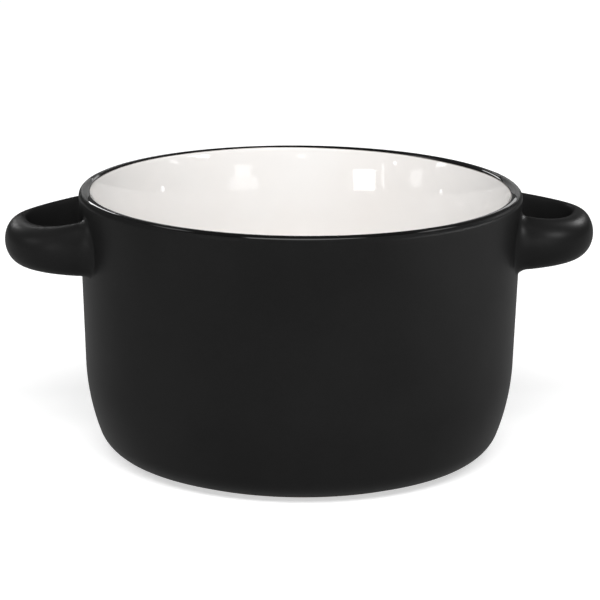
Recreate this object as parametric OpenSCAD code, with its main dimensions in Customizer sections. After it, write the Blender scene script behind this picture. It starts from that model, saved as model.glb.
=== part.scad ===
// Two-handled soup crock.
// A stoneware pot carries two loop handles, each luted to the wall with slip at its two roots.
// Over the clay lie a matte black coat outside, a gloss white liner inside, a gloss black band
// on the lip and a glazed patch under the base. The foot ring stays bare.
// Millimetres, +Z up, origin at the middle of the foot, handles along X.

/* [Bowl] */
// Outside diameter over the rim
rim_d = 122; // [108:1:140]
// Height from the foot to the crown of the lip
bowl_h = 74.5; // [66:0.5:90]
// Lean of the outside wall, in degrees from upright
wall_taper = 2; // [0.5:0.25:4]
// Thickness of the lip over its glaze
lip_t = 3.6; // [2.8:0.1:4.6]
// Lean of the inside just under the lip, in degrees from upright
lip_lean = 22; // [14:1:25]
// Radius of the flare inside, from the wall up to the lip
flare_r = 55; // [36:1:64]
// Thickness of the wall where the belly starts, over its glaze
wall_t = 6.6; // [5.6:0.1:8]
// Thickness of the floor over its glaze
floor_t = 5.5; // [4.5:0.25:8]
// Radius of the belly curve
belly_r = 62; // [48:1:76]
// Lean at which the belly gives way to the heel, in degrees from upright
heel_turn = 20; // [14:1:26]
// Radius of the heel
heel_r = 10; // [7:0.5:13]
// Radius of the corner inside, between wall and floor
corner_r = 14; // [9:0.5:18]

/* [Foot] */
// Height of the bare foot ring below the heel
foot_h = 0.8; // [0.5:0.1:1.6]
// Width of the foot ring
foot_w = 3.5; // [2.5:0.25:5]
// Depth of the recess inside the foot ring, to its clay
foot_recess = 2; // [1.4:0.1:3]
// Rounding of the foot ring's two lower edges
foot_round = 0.4; // [0.2:0.05:0.45]

/* [Handles] */
// Reach of a loop past the rim
handle_out = 20.25; // [18.5:0.25:26]
// Width of a loop along the wall
handle_w = 39.5; // [34:0.5:44]
// Depth of the strap's middle below the lip, at the wall
handle_drop = 13; // [11.5:0.25:20]
// Height of the strap at the outer bend
strap_h = 13; // [9:0.2:14]
// Height of the strap where its legs start
root_h = 14.6; // [11:0.2:16]
// Thickness of the strap through its middle
strap_t = 7.2; // [5.6:0.2:9]
// Share of that thickness on the outer side of the strap's crest
strap_crest_share = 0.72; // [0.5:0.02:0.8]
// How much the strap swells all round where it meets the wall
root_flare = 1.4; // [0.6:0.1:2]
// Droop of the loop towards its outer bend, in degrees
droop = 1.3; // [0:0.1:4]

/* [Glaze and slip] */
// Thickness of every glaze
glaze_t = 0.5; // [0.3:0.05:0.7]
// Thickness of the slip under each handle root
slip_t = 0.4; // [0.2:0.05:0.6]
// How far the matte coat reaches in over the lip, measured level from the lip's outer side
coat_edge = 0.4; // [0.2:0.1:1.2]
// How far the white liner reaches out over the lip, measured level from the lip's inner side
liner_edge = 0.7; // [0.4:0.1:1.2]

/* [Hidden] */
$fn = 96;
overrun = 2;           // how far a loop runs on into the wall that it is cut to
arc_step = 4;          // turn of one profile segment, in degrees
lip_step = 9;          // the same on the small lip and foot rounds
bend_step = 10;        // turn between two sections of a loop, in degrees
strap_sides = 24;      // sides of a loop's section
clay = [0.85, 0.81, 0.74];
matte_black = [0.13, 0.13, 0.13];
gloss_black = [0.05, 0.05, 0.05];
gloss_white = [0.94, 0.93, 0.92];

// Outside of the bowl: lip, straight wall, belly and heel, each tangent to the next
rim_r = rim_d / 2;
lip_r = lip_t / 2;
lip_c = [rim_r - lip_r, bowl_h - lip_r];
wall_top = lip_c + lip_r * [cos(wall_taper), -sin(wall_taper)];
heel_z = foot_h + heel_r;
belly_z = heel_z + (belly_r - heel_r) * sin(heel_turn);
wall_foot_z = belly_z - belly_r * sin(wall_taper);
wall_foot_r = wall_top.x - (wall_top.y - wall_foot_z) * tan(wall_taper);
belly_c = [wall_foot_r - belly_r * cos(wall_taper), belly_z];
heel_c = [belly_c.x + (belly_r - heel_r) * cos(heel_turn), heel_z];

// Inside of the bowl: lip, flare, straight wall and the corner over the floor, each tangent to the next
flare_c = lip_c + (flare_r - lip_r) * [cos(lip_lean), -sin(lip_lean)];
inner_foot = [wall_foot_r - wall_t, wall_foot_z];
inner_run = flare_c - inner_foot;
inner_taper = atan2(inner_run.x, inner_run.y) - asin(flare_r / norm(inner_run));
floor_z = foot_recess + floor_t;
corner_z = floor_z + corner_r;
corner_c = [
    flare_c.x + (corner_z - flare_c.y) * tan(inner_taper) - (flare_r + corner_r) / cos(inner_taper),
    corner_z
];

// Turns on the lip, from its outer side, where the coat ends and the liner starts
coat_turn = acos((lip_r - coat_edge) / lip_r);
liner_turn = acos((liner_edge - lip_r) / lip_r);

// Foot ring, just inside the heel's lowest line
foot_r = heel_c.x;
foot_in_r = foot_r - foot_w;

// Handle loop: half a ring on two short legs, in the frame of the handle on +X
strap_out = strap_t * strap_crest_share;
strap_in = strap_t - strap_out;
crest_r = handle_w / 2 - strap_out;
loop_x = rim_r + handle_out - handle_w / 2;
strap_z = bowl_h - handle_drop;
leg_shares = [0.15, 0.4, 0.7];  // places of a leg's sections, from the wall to the bend
bend_turns = [for (turn = [-90 : bend_step : 90]) turn];

// Points along an arc, from angle a to angle b
function arc(c, r, a, b, step = arc_step) =
    let (n = max(2, ceil(abs(b - a) / step)))
    [for (i = [0 : n]) let (t = a + (b - a) * i / n) c + r * [cos(t), sin(t)]];

function reverse(points) = [for (i = [len(points) - 1 : -1 : 0]) points[i]];

// Outside line of the bowl, from the foot up to an angle on the lip, taken in by a depth
function outside_line(depth, lip_end) = concat(
    arc(heel_c, heel_r - depth, -90, -heel_turn),
    arc(belly_c, belly_r - depth, -heel_turn, -wall_taper),
    arc(lip_c, lip_r - depth, -wall_taper, lip_end, lip_step)
);

// Inside line of the bowl, from the axis up to an angle on the lip, taken out by a depth
function inside_line(depth, lip_end) = concat(
    [[0, floor_z - depth]],
    arc(corner_c, corner_r + depth, -90, -inner_taper),
    arc(flare_c, flare_r - depth, 180 - inner_taper, 180 - lip_lean),
    arc(lip_c, lip_r - depth, 180 - lip_lean, lip_end, lip_step)
);

// Underside of the clay, from the axis out to the foot ring's outer edge
function foot_line() = concat(
    [[0, foot_recess], [foot_in_r, foot_recess]],
    arc([foot_in_r + foot_round, foot_round], foot_round, 180, 270, lip_step),
    arc([foot_r - foot_round, foot_round], foot_round, 270, 360, lip_step)
);

// Radius of the outside wall at a height, taken in by a depth
function wall_r(z, depth) = wall_top.x - (wall_top.y - z) * tan(wall_taper) - depth / cos(wall_taper);

// Distance of the outside wall from the middle plane, beside a leg
function wall_x(y, z) = sqrt(pow(wall_r(z, 0), 2) - y * y);

// Height of the strap at a turn of the bend: it widens towards the legs
function strap_height(turn) = strap_h + (root_h - strap_h) * pow(1 - cos(turn), 2);

// One point of a loop's section. The turn goes round the bend, share runs along a leg from the wall (0)
// to the bend (1), sunk is how far the section lies inside the wall, side goes round the section,
// and depth takes the section in.
function strap_point(turn, share, sunk, side, depth) =
    let (
        swell = root_flare * pow(1 - share, 2) + sunk - depth,
        across = (cos(side) > 0 ? strap_out : strap_in) + swell,
        up = strap_height(turn) / 2 + swell,
        r = crest_r + across * cos(side),
        bend_x = loop_x + r * cos(turn),
        y = r * sin(turn),
        z = strap_z + up * sin(side) - (bend_x - loop_x) * tan(droop),
        leg_x = wall_x(y, z) + share * (loop_x - wall_x(y, z)) - sunk,
        x = share < 1 ? leg_x : bend_x
    )
    [x, y, z];

// Every section of a loop, from one root round to the other: [turn, share, sunk]
strap_sections = concat(
    [[bend_turns[0], 0, overrun]],
    [for (share = leg_shares) [bend_turns[0], share, 0]],
    [for (turn = bend_turns) [turn, 1, 0]],
    [for (share = reverse(leg_shares)) [-bend_turns[0], share, 0]],
    [[-bend_turns[0], 0, overrun]]
);

// A whole loop on +X, run into the wall at both roots
module strap_loop(depth) {
    rings = len(strap_sections);
    last = (rings - 1) * strap_sides;
    points = [
        for (s = strap_sections, j = [0 : strap_sides - 1])
            strap_point(s[0], s[1], s[2], 360 * j / strap_sides, depth)
    ];
    skin = [
        for (i = [0 : rings - 2], j = [0 : strap_sides - 1])
            let (
                a = i * strap_sides + j,
                b = i * strap_sides + (j + 1) % strap_sides,
                c = b + strap_sides,
                d = a + strap_sides
            )
            each [[a, b, c], [a, c, d]]
    ];
    first_end = [for (j = [1 : strap_sides - 2]) [0, j + 1, j]];
    last_end = [for (j = [1 : strap_sides - 2]) [last, last + j, last + j + 1]];
    polyhedron(points, concat(skin, first_end, last_end));
}

// Solid inside the outside wall, taken in by a depth, over the height of the handles
module wall_core(depth) {
    low = wall_foot_z;
    high = bowl_h;
    translate([0, 0, low])
        cylinder(h = high - low, r1 = wall_r(low, depth), r2 = wall_r(high, depth));
}

// Places its child, built on +X, at one of the two handles: -1 is left, 1 is right
module at_handle(hand) {
    rotate([0, 0, hand < 0 ? 180 : 0]) children();
}

// The pot itself: wall, floor and bare foot ring in one piece of clay
module stoneware_body() {
    color(clay) rotate_extrude()
        polygon(concat(
            foot_line(),
            outside_line(glaze_t, 90),
            reverse(inside_line(glaze_t, 90))
        ));
}

// A handle of clay, its two roots saddled to the wall over the slip
module handle(hand) {
    color(clay) at_handle(hand) difference() {
        strap_loop(glaze_t);
        wall_core(glaze_t - slip_t);
    }
}

// The two films of slip that lute a handle to the wall
module handle_slip(hand) {
    color(clay) at_handle(hand) intersection() {
        strap_loop(glaze_t);
        difference() {
            wall_core(glaze_t - slip_t);
            wall_core(glaze_t);
        }
    }
}

// The matte coat: one skin over the wall, the heel and both handles
module matte_coat() {
    color(matte_black) difference() {
        union() {
            rotate_extrude()
                polygon(concat(outside_line(0, coat_turn), reverse(outside_line(glaze_t, coat_turn))));
            for (hand = [-1, 1]) at_handle(hand) difference() {
                strap_loop(0);
                wall_core(glaze_t / 2);
            }
        }
        for (hand = [-1, 1]) at_handle(hand) strap_loop(glaze_t);
    }
}

// The gloss liner, from the lip's inner side down over the floor
module white_liner() {
    color(gloss_white) rotate_extrude()
        polygon(concat(inside_line(glaze_t, liner_turn), reverse(inside_line(0, liner_turn))));
}

// The gloss band over the crown of the lip, between coat and liner
module rim_band() {
    color(gloss_black) rotate_extrude()
        polygon(concat(
            arc(lip_c, lip_r, coat_turn, liner_turn, lip_step),
            reverse(arc(lip_c, lip_r - glaze_t, coat_turn, liner_turn, lip_step))
        ));
}

// The glazed patch in the recess inside the foot ring
module base_glaze() {
    color(matte_black) translate([0, 0, foot_recess - glaze_t])
        cylinder(h = glaze_t, r = foot_in_r);
}

stoneware_body();
handle(-1);  // left_handle
handle(1);  // right_handle
handle_slip(-1);  // left_handle_slip
handle_slip(1);  // right_handle_slip
matte_coat();
white_liner();
rim_band();
base_glaze();
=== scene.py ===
import math

import bmesh
import bpy
from mathutils import Matrix, Vector


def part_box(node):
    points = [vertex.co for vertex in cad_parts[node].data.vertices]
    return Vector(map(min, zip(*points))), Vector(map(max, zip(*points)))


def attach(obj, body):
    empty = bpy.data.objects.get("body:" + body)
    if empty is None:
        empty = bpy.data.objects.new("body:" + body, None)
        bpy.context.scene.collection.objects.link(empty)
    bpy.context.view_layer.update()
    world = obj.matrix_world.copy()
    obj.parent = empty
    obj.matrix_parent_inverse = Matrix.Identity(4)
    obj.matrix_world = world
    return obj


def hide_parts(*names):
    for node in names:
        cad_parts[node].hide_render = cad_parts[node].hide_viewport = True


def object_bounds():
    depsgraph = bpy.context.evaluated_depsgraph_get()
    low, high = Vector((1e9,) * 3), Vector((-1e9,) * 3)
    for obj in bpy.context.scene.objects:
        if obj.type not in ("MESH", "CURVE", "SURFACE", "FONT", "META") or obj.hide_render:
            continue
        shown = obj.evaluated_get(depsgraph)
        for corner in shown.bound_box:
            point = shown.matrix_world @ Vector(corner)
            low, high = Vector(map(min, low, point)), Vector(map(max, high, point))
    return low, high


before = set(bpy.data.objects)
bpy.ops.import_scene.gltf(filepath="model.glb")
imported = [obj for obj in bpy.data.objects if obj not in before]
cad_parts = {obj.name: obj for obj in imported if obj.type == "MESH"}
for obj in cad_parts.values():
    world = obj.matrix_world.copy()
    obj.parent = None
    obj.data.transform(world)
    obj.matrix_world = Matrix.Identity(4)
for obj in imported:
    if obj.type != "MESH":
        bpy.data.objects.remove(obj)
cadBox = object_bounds()
scene = bpy.context.scene
scene.view_settings.view_transform = "Standard"
mm = 0.001  # the crock's sizes are in millimetres and degrees, its meshes in metres
print("frame loaded:", sorted(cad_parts))


# Camera, placed as the photograph's

view = {
    "distance": 800.0,  # level distance from the crock's axis
    "height": 245.4,
    "azimuth": 3.72,  # to the left of straight in front
    "pitch": 14.226,  # down
    "roll": 0.48,
    "focalPixels": 2972.5,
    "imagePixels": 600,
    "axisPixel": 299.84,  # where the lens points, across the picture
    "sensorWidth": 36.0,
    "nearest": 10.0,  # nothing nearer than this is drawn
}


def makeCamera(settings):
    turn, pitch, roll = (math.radians(settings[key]) for key in ("azimuth", "pitch", "roll"))
    ahead = Vector((math.sin(turn) * math.cos(pitch), math.cos(turn) * math.cos(pitch), -math.sin(pitch)))
    right = ahead.cross(Vector((0, 0, 1))).normalized()
    up = right.cross(ahead)
    tilted = math.cos(roll) * right + math.sin(roll) * up
    upright = math.cos(roll) * up - math.sin(roll) * right
    lens = bpy.data.cameras.new("camera")
    lens.sensor_width = settings["sensorWidth"]
    lens.lens = settings["focalPixels"] / settings["imagePixels"] * settings["sensorWidth"]
    lens.shift_x = 0.5 - settings["axisPixel"] / settings["imagePixels"]
    lens.clip_start = settings["nearest"] * mm
    camera = bpy.data.objects.new("camera", lens)
    pose = Matrix((tilted, upright, -ahead)).transposed().to_4x4()
    level = -settings["distance"] * Vector((math.sin(turn), math.cos(turn), 0))
    pose.translation = (level + Vector((0, 0, settings["height"]))) * mm
    camera.matrix_world = pose
    scene.collection.objects.link(camera)
    scene.camera = camera


makeCamera(view)
print("camera placed")


# Shader maths: a Wire is a socket that can be added, multiplied and fed to nodes

class Wire:
    def __init__(self, tree, socket=None):
        self.tree = tree
        self.socket = socket

    def node(self, kind, settings=None, sockets=None, out=0):
        made = self.tree.nodes.new(kind)
        for key, value in (settings or {}).items():
            setattr(made, key, value)
        for key, value in (sockets or {}).items():
            if isinstance(value, Wire):
                self.tree.links.new(value.socket, made.inputs[key])
            else:
                made.inputs[key].default_value = value
        return Wire(self.tree, made.outputs[out] if made.outputs else None)

    def maths(self, operation, first, second):
        return self.node("ShaderNodeMath", {"operation": operation}, {0: first, 1: second})

    def __add__(self, other):
        return self.maths("ADD", self, other)

    def __radd__(self, other):
        return self.maths("ADD", other, self)

    def __sub__(self, other):
        return self.maths("SUBTRACT", self, other)

    def __rsub__(self, other):
        return self.maths("SUBTRACT", other, self)

    def __mul__(self, other):
        return self.maths("MULTIPLY", self, other)

    def __rmul__(self, other):
        return self.maths("MULTIPLY", other, self)

    def spread(self, low, high):  # 0 at low, 1 at high, smooth between
        return self.node("ShaderNodeMapRange", {"interpolation_type": "SMOOTHSTEP"},
                         {"Value": self, "From Min": low, "From Max": high})

    def blend(self, first, second):  # this wire as the share of the second colour
        colours = {0: self, 6: first, 7: second}
        return self.node("ShaderNodeMix", {"data_type": "RGBA"}, colours, out=2)


noiseMiddle = 0.5  # noise swings about this value


def newMaterial(name):
    material = bpy.data.materials.new(name)
    material.use_nodes = True
    material.node_tree.nodes.clear()
    return material, Wire(material.node_tree)


def surface(wire, sockets):
    shader = wire.node("ShaderNodeBsdfPrincipled", {}, sockets)
    wire.node("ShaderNodeOutputMaterial", {}, {"Surface": shader})


def noise(wire, scale, detail):
    place = wire.node("ShaderNodeTexCoord", {}, {}, out="Object")
    sockets = {"Vector": place, "Scale": scale, "Detail": detail}
    return wire.node("ShaderNodeTexNoise", {"noise_dimensions": "3D"}, sockets)


def vary(middle, span, pattern):  # a value that follows a noise pattern
    return middle + span * (pattern - noiseMiddle)


def bump(wire, height, depth):
    sockets = {"Strength": 1.0, "Distance": depth * mm, "Height": height}
    return wire.node("ShaderNodeBump", {}, sockets)


def grey(level):
    return (level, level, level, 1.0)


# Finishes: noise scales count per metre and depths are millimetres
# A spread is the stretch of a noise over which one colour gives way to the next

matteBlackFinish = {
    "dark": 0.0094, "light": 0.012, "lightSpread": (0.3, 0.7), "cloudShare": 0.6,
    "roughness": 0.6, "roughnessRange": 0.1,
    "satin": 0.25, "satinRange": 0.04, "satinRoughness": 0.36, "satinIor": 1.25,  # shines at a low angle
    "cloudScale": 38.0, "cloudDetail": 3.0,
    "grainScale": 2600.0, "grainDetail": 2.0, "grainDepth": 0.006,
}
glossBlackFinish = {
    "dark": 0.002, "light": 0.004, "roughness": 0.4, "roughnessRange": 0.1,
    "gloss": 0.94, "glossRange": 0.06, "glossRoughness": 0.06, "glossIor": 1.5,
    "rippleScale": 130.0, "rippleDetail": 2.0, "rippleDepth": 0.02,
}
glossWhiteFinish = {
    "milk": (0.865, 0.85, 0.835, 1.0), "cream": (0.845, 0.815, 0.79, 1.0), "creamSpread": (0.3, 0.8),
    "thin": (0.30, 0.27, 0.25, 1.0),  # at its edge, where the black shows through
    "roughness": 0.055, "roughnessRange": 0.04, "specular": 0.5,
    "cloudScale": 22.0, "cloudDetail": 3.0,
    "rippleScale": 45.0, "rippleDetail": 1.0, "rippleDepth": 0.012,
}
bareClayFinish = {
    "pale": (0.60, 0.52, 0.42, 1.0), "buff": (0.48, 0.40, 0.31, 1.0), "buffSpread": (0.3, 0.7),
    "speck": (0.12, 0.08, 0.06, 1.0), "speckSpread": (0.70, 0.74), "speckScale": 900.0, "speckDetail": 0.0,
    "roughness": 0.82, "roughnessRange": 0.1,
    "cloudScale": 90.0, "cloudDetail": 4.0,
    "grainScale": 1400.0, "grainDetail": 3.0, "grainDepth": 0.05,
}


def matteBlackGlaze(finish):
    material, wire = newMaterial("matteBlackGlaze")
    cloud = noise(wire, finish["cloudScale"], finish["cloudDetail"])
    grain = noise(wire, finish["grainScale"], finish["grainDetail"])
    mottle = finish["cloudShare"] * cloud + (1 - finish["cloudShare"]) * grain
    shade = mottle.spread(*finish["lightSpread"]).blend(grey(finish["dark"]), grey(finish["light"]))
    surface(wire, {
        "Base Color": shade,
        "Roughness": vary(finish["roughness"], finish["roughnessRange"], cloud),
        "Specular IOR Level": 0.0,  # all its shine is the satin skin
        "Coat Weight": vary(finish["satin"], finish["satinRange"], cloud),
        "Coat Roughness": finish["satinRoughness"],
        "Coat IOR": finish["satinIor"],
        "Normal": bump(wire, grain, finish["grainDepth"]),
    })
    return material


def glossBlackGlaze(finish):
    material, wire = newMaterial("glossBlackGlaze")
    ripple = noise(wire, finish["rippleScale"], finish["rippleDetail"])
    surface(wire, {
        "Base Color": ripple.blend(grey(finish["dark"]), grey(finish["light"])),
        "Roughness": vary(finish["roughness"], finish["roughnessRange"], ripple),
        "Specular IOR Level": 0.0,  # all its shine is the glassy skin
        "Coat Weight": vary(finish["gloss"], finish["glossRange"], ripple),
        "Coat Roughness": finish["glossRoughness"],
        "Coat IOR": finish["glossIor"],
        "Normal": bump(wire, ripple, finish["rippleDepth"]),
    })
    return material


def glossWhiteGlaze(finish):
    material, wire = newMaterial("glossWhiteGlaze")
    cloud = noise(wire, finish["cloudScale"], finish["cloudDetail"])
    ripple = noise(wire, finish["rippleScale"], finish["rippleDetail"])
    cover = wire.node("ShaderNodeAttribute", {"attribute_name": "cover"}, {}, out="Fac")
    body = cloud.spread(*finish["creamSpread"]).blend(finish["milk"], finish["cream"])
    surface(wire, {
        "Base Color": cover.blend(finish["thin"], body),
        "Roughness": vary(finish["roughness"], finish["roughnessRange"], cloud),
        "Specular IOR Level": finish["specular"],
        "Normal": bump(wire, ripple, finish["rippleDepth"]),
    })
    return material


def bareClay(finish):
    material, wire = newMaterial("bareClay")
    cloud = noise(wire, finish["cloudScale"], finish["cloudDetail"])
    grain = noise(wire, finish["grainScale"], finish["grainDetail"])
    specks = noise(wire, finish["speckScale"], finish["speckDetail"]).spread(*finish["speckSpread"])
    body = cloud.spread(*finish["buffSpread"]).blend(finish["pale"], finish["buff"])
    surface(wire, {
        "Base Color": specks.blend(body, finish["speck"]),
        "Roughness": vary(finish["roughness"], finish["roughnessRange"], grain),
        "Normal": bump(wire, grain, finish["grainDepth"]),
    })
    return material


matteBlack = matteBlackGlaze(matteBlackFinish)
glossBlack = glossBlackGlaze(glossBlackFinish)
glossWhite = glossWhiteGlaze(glossWhiteFinish)
clay = bareClay(bareClayFinish)
print("finishes mixed")


# Profile of the bowl, as pairs of radius and height

bowl = {
    "rimRadius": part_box("matte_coat")[1][1] / mm,
    "height": cadBox[1][2] / mm,
    "wallTaper": 2.0, "lipThickness": 3.6,
    "lipLean": 22.0, "flareRadius": 55.0, "wallThickness": 6.6,
    "floorThickness": 5.5, "cornerRadius": 14.0,
    "bellyRadius": 62.0, "heelTurn": 20.0, "heelRadius": 10.0,
    "footHeight": 0.8, "footWidth": 3.5, "footRecess": 2.0,
    "glaze": 0.5,
    "heelSteps": 28, "bellySteps": 14, "wallSteps": 24, "lipSteps": 16,  # outside
    "floorSteps": 18, "cornerSteps": 28, "innerWallSteps": 16, "flareSteps": 20, "innerLipSteps": 10,
}


def polar(degrees):
    turn = math.radians(degrees)
    return Vector((math.cos(turn), math.sin(turn)))


def tan(degrees):
    return math.tan(math.radians(degrees))


# Outside: lip, straight wall, belly and heel, each tangent to the next
taper = bowl["wallTaper"]
lipRadius = bowl["lipThickness"] / 2
lipCentre = Vector((bowl["rimRadius"] - lipRadius, bowl["height"] - lipRadius))
wallTop = lipCentre + lipRadius * polar(-taper)
heelHeight = bowl["footHeight"] + bowl["heelRadius"]
bellySpan = bowl["bellyRadius"] - bowl["heelRadius"]
bellyHeight = heelHeight + bellySpan * polar(bowl["heelTurn"]).y
wallFootHeight = bellyHeight + bowl["bellyRadius"] * polar(-taper).y
wallFoot = Vector((wallTop.x - (wallTop.y - wallFootHeight) * tan(taper), wallFootHeight))
bellyCentre = wallFoot - bowl["bellyRadius"] * polar(-taper)
heelCentre = bellyCentre + bellySpan * polar(-bowl["heelTurn"])
footRadius = heelCentre.x

# Inside: lip, flare, straight wall and the corner over the floor, each tangent to the next
flareCentre = lipCentre + (bowl["flareRadius"] - lipRadius) * polar(-bowl["lipLean"])
innerRun = flareCentre - wallFoot + Vector((bowl["wallThickness"], 0))
flareTurn = math.asin(bowl["flareRadius"] / innerRun.length)
innerTaper = math.degrees(math.atan2(innerRun.x, innerRun.y) - flareTurn)
floorHeight = bowl["footRecess"] + bowl["floorThickness"]
cornerHeight = floorHeight + bowl["cornerRadius"]
cornerCentre = Vector((
    flareCentre.x + (cornerHeight - flareCentre.y) * tan(innerTaper)
    - (bowl["flareRadius"] + bowl["cornerRadius"]) / polar(innerTaper).x,
    cornerHeight,
))


def arc(centre, radius, start, end, count):
    return [centre + radius * polar(start + (end - start) * i / count) for i in range(count + 1)]


def straight(first, last, count):
    return [first.lerp(last, i / count) for i in range(count + 1)]


def join(*runs):
    points = list(runs[0])
    for run in runs[1:]:
        points += run[1:]  # each run starts where the last one ends
    return points


def outsideLine(depth, lipEnd):
    heel = arc(heelCentre, bowl["heelRadius"] - depth, -90, -bowl["heelTurn"], bowl["heelSteps"])
    belly = arc(bellyCentre, bowl["bellyRadius"] - depth, -bowl["heelTurn"], -taper, bowl["bellySteps"])
    lip = arc(lipCentre, lipRadius - depth, -taper, lipEnd, bowl["lipSteps"])
    wall = straight(belly[-1], lip[0], bowl["wallSteps"])
    return join(heel, belly, wall, lip)


def insideLine(depth, lipEnd):
    lean = 180 - bowl["lipLean"]
    corner = arc(cornerCentre, bowl["cornerRadius"] + depth, -90, -innerTaper, bowl["cornerSteps"])
    flare = arc(flareCentre, bowl["flareRadius"] - depth, 180 - innerTaper, lean, bowl["flareSteps"])
    lip = arc(lipCentre, lipRadius - depth, lean, lipEnd, bowl["innerLipSteps"])
    floor = straight(Vector((0, floorHeight - depth)), corner[0], bowl["floorSteps"])
    wall = straight(corner[-1], flare[0], bowl["innerWallSteps"])
    return join(floor, corner, wall, flare, lip)


meshFinish = {
    "weld": 1e-7,  # metres, points this close become one
    "crease": 38.0,  # edges that turn more than this stay sharp
}


def finishPiece(name, points, faces, material, nodes, cover=None):
    mesh = bpy.data.meshes.new(name)
    mesh.from_pydata([p * mm for p in points], [], faces)
    if cover:
        mesh.attributes.new("cover", "FLOAT", "POINT").data.foreach_set("value", cover)
    work = bmesh.new()
    work.from_mesh(mesh)
    bmesh.ops.remove_doubles(work, verts=work.verts, dist=meshFinish["weld"])
    bmesh.ops.recalc_face_normals(work, faces=work.faces)
    for face in work.faces:
        face.smooth = True
    for edge in work.edges:
        edge.smooth = edge.calc_face_angle(0.0) < math.radians(meshFinish["crease"])
    work.to_mesh(mesh)
    work.free()
    mesh.materials.append(material)
    piece = bpy.data.objects.new(name, mesh)
    scene.collection.objects.link(piece)
    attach(piece, "root")
    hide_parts(*nodes)
    print("made", name, len(mesh.polygons), "faces")
    return piece


def spin(outlineAt, turns, closed=True):
    points, faces = [], []
    for i in range(turns):
        azimuth = 360 * i / turns
        ahead = polar(azimuth)
        points += [Vector((p.x * ahead.x, p.x * ahead.y, p.y)) for p in outlineAt(azimuth)]
    rows = len(points) // turns
    for i in range(turns):
        for j in range(rows if closed else rows - 1):
            here, there, along = i * rows, (i + 1) % turns * rows, (j + 1) % rows
            faces.append((here + j, there + j, there + along, here + along))
    return points, faces


# The glazes meet on the lip along hand-wiped lines, which wander a little round the rim

glazeLines = {
    "turns": 384, "bandSteps": 14,
    "coat": {  # angles on the lip, from its outer side
        "middle": 46.0, "swing": 5.0, "swell": 10.0, "toward": -5.0,
        "waves": ((5, 40, 1.0), (11, 100, 0.6)),  # count round the rim, start, share
    },
    "liner": {
        "middle": 134.0, "swing": 4.0, "swell": 9.0, "toward": 15.0,
        "waves": ((4, 200, 1.0), (9, 20, 0.7)),
    },
    "wander": 2.0,  # height of a whole wave
    "climbs": (2.0, 178.0),  # azimuths beside the handles, where the coat is wiped over the crown
    "climbHalf": 12.0, "climbGap": 5.0, "climbPower": 6,
    "fade": 0.3,  # width of the liner's thin edge
    "bead": 0.07,  # how far the gloss band is drawn down at its edges
}


def lipAngle(azimuth, line):
    turn = azimuth - line["toward"]
    swing = line["swing"] * polar(turn).x + line["swell"] * polar(2 * turn).x
    waves = sum(share * polar(count * azimuth + start).x for count, start, share in line["waves"])
    return line["middle"] + swing + glazeLines["wander"] * waves


def linerStart(azimuth):
    return lipAngle(azimuth, glazeLines["liner"])


def climbShare(azimuth):  # 1 where the coat reaches the liner, 0 elsewhere
    away = [abs((azimuth - middle + 180) % 360 - 180) for middle in glazeLines["climbs"]]
    return 1 / (1 + (min(away) / glazeLines["climbHalf"]) ** glazeLines["climbPower"])


def coatEnd(azimuth):
    low = lipAngle(azimuth, glazeLines["coat"])
    high = linerStart(azimuth) - glazeLines["climbGap"]
    return low + (high - low) * climbShare(azimuth)


def coatOutline(azimuth):
    end = coatEnd(azimuth)
    return outsideLine(0, end) + outsideLine(bowl["glaze"], end)[::-1]


def bandOutline(azimuth):
    start, end, count = coatEnd(azimuth), linerStart(azimuth), glazeLines["bandSteps"]
    outer = []
    for i in range(count + 1):
        drawn = glazeLines["bead"] * (1 - math.sin(math.pi * i / count))
        outer.append(lipCentre + (lipRadius - drawn) * polar(start + (end - start) * i / count))
    return outer + arc(lipCentre, lipRadius - bowl["glaze"], end, start, count)


def linerOutline(azimuth):
    end = linerStart(azimuth)
    return insideLine(0, end) + insideLine(bowl["glaze"], end)[::-1]


def linerCover(points):  # 0 at the liner's edge, where the glaze is thin, and 1 past a short fade
    cover = []
    for point in points:
        level = Vector((math.hypot(point.x, point.y), point.z))
        edge = lipCentre + lipRadius * polar(linerStart(math.degrees(math.atan2(point.y, point.x))))
        cover.append(min(1.0, (level - edge).length / glazeLines["fade"]))
    return cover


points, faces = spin(coatOutline, glazeLines["turns"])
outerCoat = finishPiece("outerCoat", points, faces, matteBlack, ["matte_coat"])
points, faces = spin(bandOutline, glazeLines["turns"])
finishPiece("lipBand", points, faces, glossBlack, ["rim_band"])
points, faces = spin(linerOutline, glazeLines["turns"], closed=False)
cover = linerCover(points)
finishPiece("whiteLiner", points, faces, glossWhite, ["white_liner"], cover)


# Base glaze: pooled in the recess, with a round edge that climbs a little at the foot ring

base = {"turns": 192, "climb": 0.25, "climbWidth": 2.5, "flatSteps": 16, "climbSteps": 8}


def baseOutline(azimuth):
    edge = footRadius - bowl["footWidth"]
    low = bowl["footRecess"] - bowl["glaze"]
    flat = straight(Vector((0, low)), Vector((edge - base["climbWidth"], low)), base["flatSteps"])
    climb = []
    for i in range(base["climbSteps"]):
        share = (i + 1) / base["climbSteps"]
        climb.append(Vector((edge - base["climbWidth"] * (1 - share), low - base["climb"] * share * share)))
    return flat + climb + [Vector((edge, bowl["footRecess"])), Vector((0, bowl["footRecess"]))]


points, faces = spin(baseOutline, base["turns"], closed=False)
finishPiece("baseGlaze", points, faces, matteBlack, ["base_glaze"])


# Handles: a flared strap bent into a loop and run out on the wall with a round fillet

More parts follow.
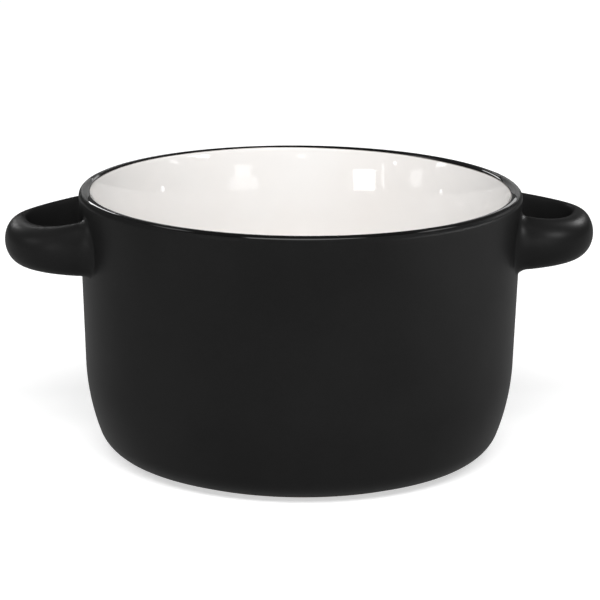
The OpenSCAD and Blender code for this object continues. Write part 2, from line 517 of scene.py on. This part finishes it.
handle = {
    "reach": cadBox[1][0] / mm,  # of the loop's outer bend, from the bowl's axis
    "width": 39.5,
    "strapHeight": 13.0, "rootHeight": 14.6,
    "strapThickness": 6.9, "crestShare": 0.75,
    "outerRun": 2.0, "innerRun": 4.0,  # how far the root runs out on the wall
    "topRun": 2.2,
    "sunk": 0.3,  # how far the root's end lies inside the wall
    "bendRings": 72, "legRings": 16, "sides": 72,
}
hands = {  # luted on by hand, so the two differ a little
    "left": {"facing": -1, "drop": 13.1, "droop": 2.1, "roll": 2.0, "dip": 0.6, "bottomRun": 0.9},
    "right": {"facing": 1, "drop": 12.3, "droop": 0.6, "roll": 1.3, "dip": 0.45, "bottomRun": 2.2},
}
strapOut = handle["strapThickness"] * handle["crestShare"]
strapIn = handle["strapThickness"] - strapOut
crestRadius = handle["width"] / 2 - strapOut
loopX = handle["reach"] - handle["width"] / 2


def wallX(y, z):
    radius = wallTop.x - (wallTop.y - z) * tan(taper)
    return math.sqrt(radius * radius - y * y)


def strapPoint(hand, turn, side, run=0):  # run is the share of the root's run-out there
    out, up = polar(side)
    across = strapOut + handle["outerRun"] * run if out > 0 else strapIn + handle["innerRun"] * run
    rise = handle["strapHeight"] + (handle["rootHeight"] - handle["strapHeight"]) * (1 - polar(turn).x) ** 2
    rise = rise / 2 + run * (handle["topRun"] if up > 0 else hand["bottomRun"])
    radius = crestRadius + across * out
    x, y = Vector((loopX, 0)) + radius * polar(turn)
    middle = bowl["height"] - hand["drop"] - (x - loopX) * tan(hand["droop"])
    middle += hand["facing"] * y * tan(hand["roll"])
    dip = hand["dip"] * abs(polar(2 * turn).y) * max(0, up)  # the upper edge sags between root and bend
    return Vector((x, y, middle + rise * up - dip))


def rootPoint(hand, turn, side, share, sunk=0):  # share is 0 on the wall and 90 where the bend starts
    point = strapPoint(hand, turn, side, 1 - polar(share).y)
    wall = wallX(point.y, point.z) - sunk
    return Vector((wall + (1 - polar(share).x) * (loopX - wall), point.y, point.z))


def strapRings(hand):
    sides = [360 * j / handle["sides"] for j in range(handle["sides"])]
    shares = [90 * i / handle["legRings"] for i in range(handle["legRings"])]
    roots = []
    for turn in (90, -90):
        root = [[rootPoint(hand, turn, side, 0, handle["sunk"]) for side in sides]]
        root += [[rootPoint(hand, turn, side, share) for side in sides] for share in shares]
        roots.append(root)
    turns = [90 - 180 * i / handle["bendRings"] for i in range(handle["bendRings"] + 1)]
    bend = [[strapPoint(hand, turn, side) for side in sides] for turn in turns]
    return roots[0] + bend + roots[1][::-1]


def loft(rings):
    count = len(rings[0])
    points = [p for ring in rings for p in ring]
    faces = []
    for i in range(len(rings) - 1):
        for j in range(count):
            here, there, along = i * count, (i + 1) * count, (j + 1) % count
            faces.append((here + j, here + along, there + along, there + j))
    faces.append(tuple(range(count)))
    faces.append(tuple(range(len(points) - 1, len(points) - count - 1, -1)))
    return points, faces


handles = {}
for name, hand in hands.items():
    points, faces = loft(strapRings(hand))
    points = [Vector((hand["facing"] * p.x, hand["facing"] * p.y, p.z)) for p in points]
    nodes = [name + "_handle", name + "_handle_slip"]
    handles[name] = finishPiece(name + "Handle", points, faces, matteBlack, nodes)

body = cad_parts["stoneware_body"]
body.data.materials.clear()
body.data.materials.append(clay)
print("body left in bare clay")


# Floor and light, in metres

studio = {
    "world": 0.12,
    "floorHalf": 6.0,
    "floorColour": 0.7, "floorRange": 0.02, "floorGlow": 0.6,
    "paperScale": 3.0, "paperDetail": 2.0,
}


def makeFloor(settings):
    half = settings["floorHalf"]
    corners = [(-half, -half, 0), (half, -half, 0), (half, half, 0), (-half, half, 0)]
    mesh = bpy.data.meshes.new("floor")
    mesh.from_pydata(corners, [], [(0, 1, 2, 3)])
    floor = bpy.data.objects.new("floor", mesh)
    scene.collection.objects.link(floor)
    material, wire = newMaterial("paleFloor")
    dark, light = settings["floorColour"], settings["floorColour"] + settings["floorRange"]
    paper = noise(wire, settings["paperScale"], settings["paperDetail"]).blend(grey(dark), grey(light))
    lit = wire.node("ShaderNodeBsdfDiffuse", {}, {"Color": paper})
    glow = wire.node("ShaderNodeEmission", {}, {"Color": grey(1.0), "Strength": settings["floorGlow"]})
    rays = [wire.node("ShaderNodeLightPath", {}, {}, out=ray)
            for ray in ("Is Camera Ray", "Is Glossy Ray", "Is Transmission Ray")]
    seen = wire.maths("MINIMUM", rays[0] + rays[1] + rays[2], 1.0)
    both = wire.node("ShaderNodeAddShader", {}, {0: lit, 1: glow})
    shown = wire.node("ShaderNodeMixShader", {}, {0: seen, 1: lit, 2: both})
    wire.node("ShaderNodeOutputMaterial", {}, {"Surface": shown})
    mesh.materials.append(material)


def makeWorld(strength):
    world = bpy.data.worlds.new("studio")
    world.use_nodes = True
    world.node_tree.nodes.clear()
    wire = Wire(world.node_tree)
    sky = wire.node("ShaderNodeBackground", {}, {"Color": grey(1.0), "Strength": strength})
    wire.node("ShaderNodeOutputWorld", {}, {"Surface": sky})
    scene.world = world


def softbox(name, azimuth, elevation, distance, width, height, brightness):
    lamp = bpy.data.lights.new(name, "AREA")
    lamp.shape = "RECTANGLE"
    lamp.size, lamp.size_y = width, height
    lamp.energy = brightness * width * height * math.pi
    level, rise = polar(azimuth), polar(elevation)
    spot = distance * Vector((level.y * rise.x, -level.x * rise.x, rise.y))
    box = bpy.data.objects.new(name, lamp)
    box.location = spot + Vector((0, 0, bowl["height"] * mm))
    box.rotation_euler = (-spot).to_track_quat("-Z", "Y").to_euler()
    scene.collection.objects.link(box)
    return box


makeFloor(studio)
makeWorld(studio["world"])
# Each lamp: azimuth from straight in front, elevation, distance, width, height, brightness
fills = {  # light the surfaces and show in no reflection
    "frontFill": (0, 46, 3.0, 2.0, 1.1, 11.2),
    "rightFill": (66, 42, 3.0, 1.0, 0.8, 6.3),
    "leftFill": (-62, 42, 3.0, 1.0, 0.8, 8.4),
}
glints = {  # show only as reflections
    "lipLine": (0, 63, 1.5, 1.2, 0.45, 3.0),
    "rightPanel": (100, 49, 1.5, 0.4, 0.3, 2.0),
    "leftPanel": (-108, 53, 1.5, 0.5, 0.3, 1.4),
    "rightKey": (64, 28, 1.4, 0.4, 0.05, 20.0),
    "rightDash": (78, 22.5, 1.4, 0.12, 0.04, 5.0),
    "leftDash": (-95, 21, 1.4, 0.16, 0.05, 8.0),
    "leftFront": (-43, 14.5, 1.3, 0.3, 0.3, 10.0),
    "leftStrip": (-55, 17, 1.3, 0.03, 0.33, 5.0),
    "leftFaint": (-77, 15, 1.3, 0.18, 0.22, 2.5),
    "leftSmall": (-63, 24.5, 1.3, 0.04, 0.04, 14.0),
    "frontSmall": (-4, 30, 1.4, 0.1, 0.06, 4.0),
    "rightFront": (31.5, 11.5, 1.3, 0.39, 0.18, 2.2),
    "rightFrontTop": (32, 19.5, 1.3, 0.22, 0.18, 3.0),
    "backLeft": (-156, 25, 1.6, 0.2, 0.45, 6.5),
    "backMiddle": (-179, 20, 1.6, 0.22, 0.18, 2.0),
    "backRightLow": (163, 17, 1.6, 0.42, 0.25, 1.4),
    "rightSpark": (87, 7.5, 1.3, 0.05, 0.07, 9.0),
    "leftSpark": (-96, 7.5, 1.3, 0.04, 0.05, 9.0),
}
leftGlints = {  # show only in the left handle, whose soft shine spreads them
    "leftSoft": (-82, 24, 1.4, 0.35, 0.2, 16.0),
    "leftLow": (-25, 4, 1.5, 1.2, 0.6, 2.0),
    "backLeftSoft": (-145, 20, 1.6, 0.25, 0.25, 34.0),
    "backLeftHigh": (-160, 34, 1.6, 0.35, 0.15, 16.0),
}
rightGlints = {  # show only in the right handle
    "handleKey": (57, 25, 1.4, 0.5, 0.14, 74.0),
    "handleLow": (25, 4, 1.5, 1.2, 0.6, 5.0),
    "backRightSoft": (129, 27, 1.6, 0.45, 0.2, 62.0),
}
coatGlints = {  # show only in the coat
    "rimSoft": (178, 10, 1.6, 1.3, 0.3, 6.5),
    "shoulderSoft": (124, 18, 1.6, 0.5, 0.4, 7.0),
    "rightLow": (78, 0, 0.9, 0.9, 0.14, 24.0),
}
linkedGlints = ((handles["left"], leftGlints), (handles["right"], rightGlints), (outerCoat, coatGlints))
for name, settings in fills.items():
    softbox(name, *settings).visible_glossy = False
for name, settings in glints.items():
    softbox(name, *settings).visible_diffuse = False
for part, lamps in linkedGlints:
    lit = bpy.data.collections.new(part.name + "Lit")
    lit.objects.link(part)
    for name, settings in lamps.items():
        lamp = softbox(name, *settings)
        lamp.visible_diffuse = False
        lamp.light_linking.receiver_collection = lit
print("light set")
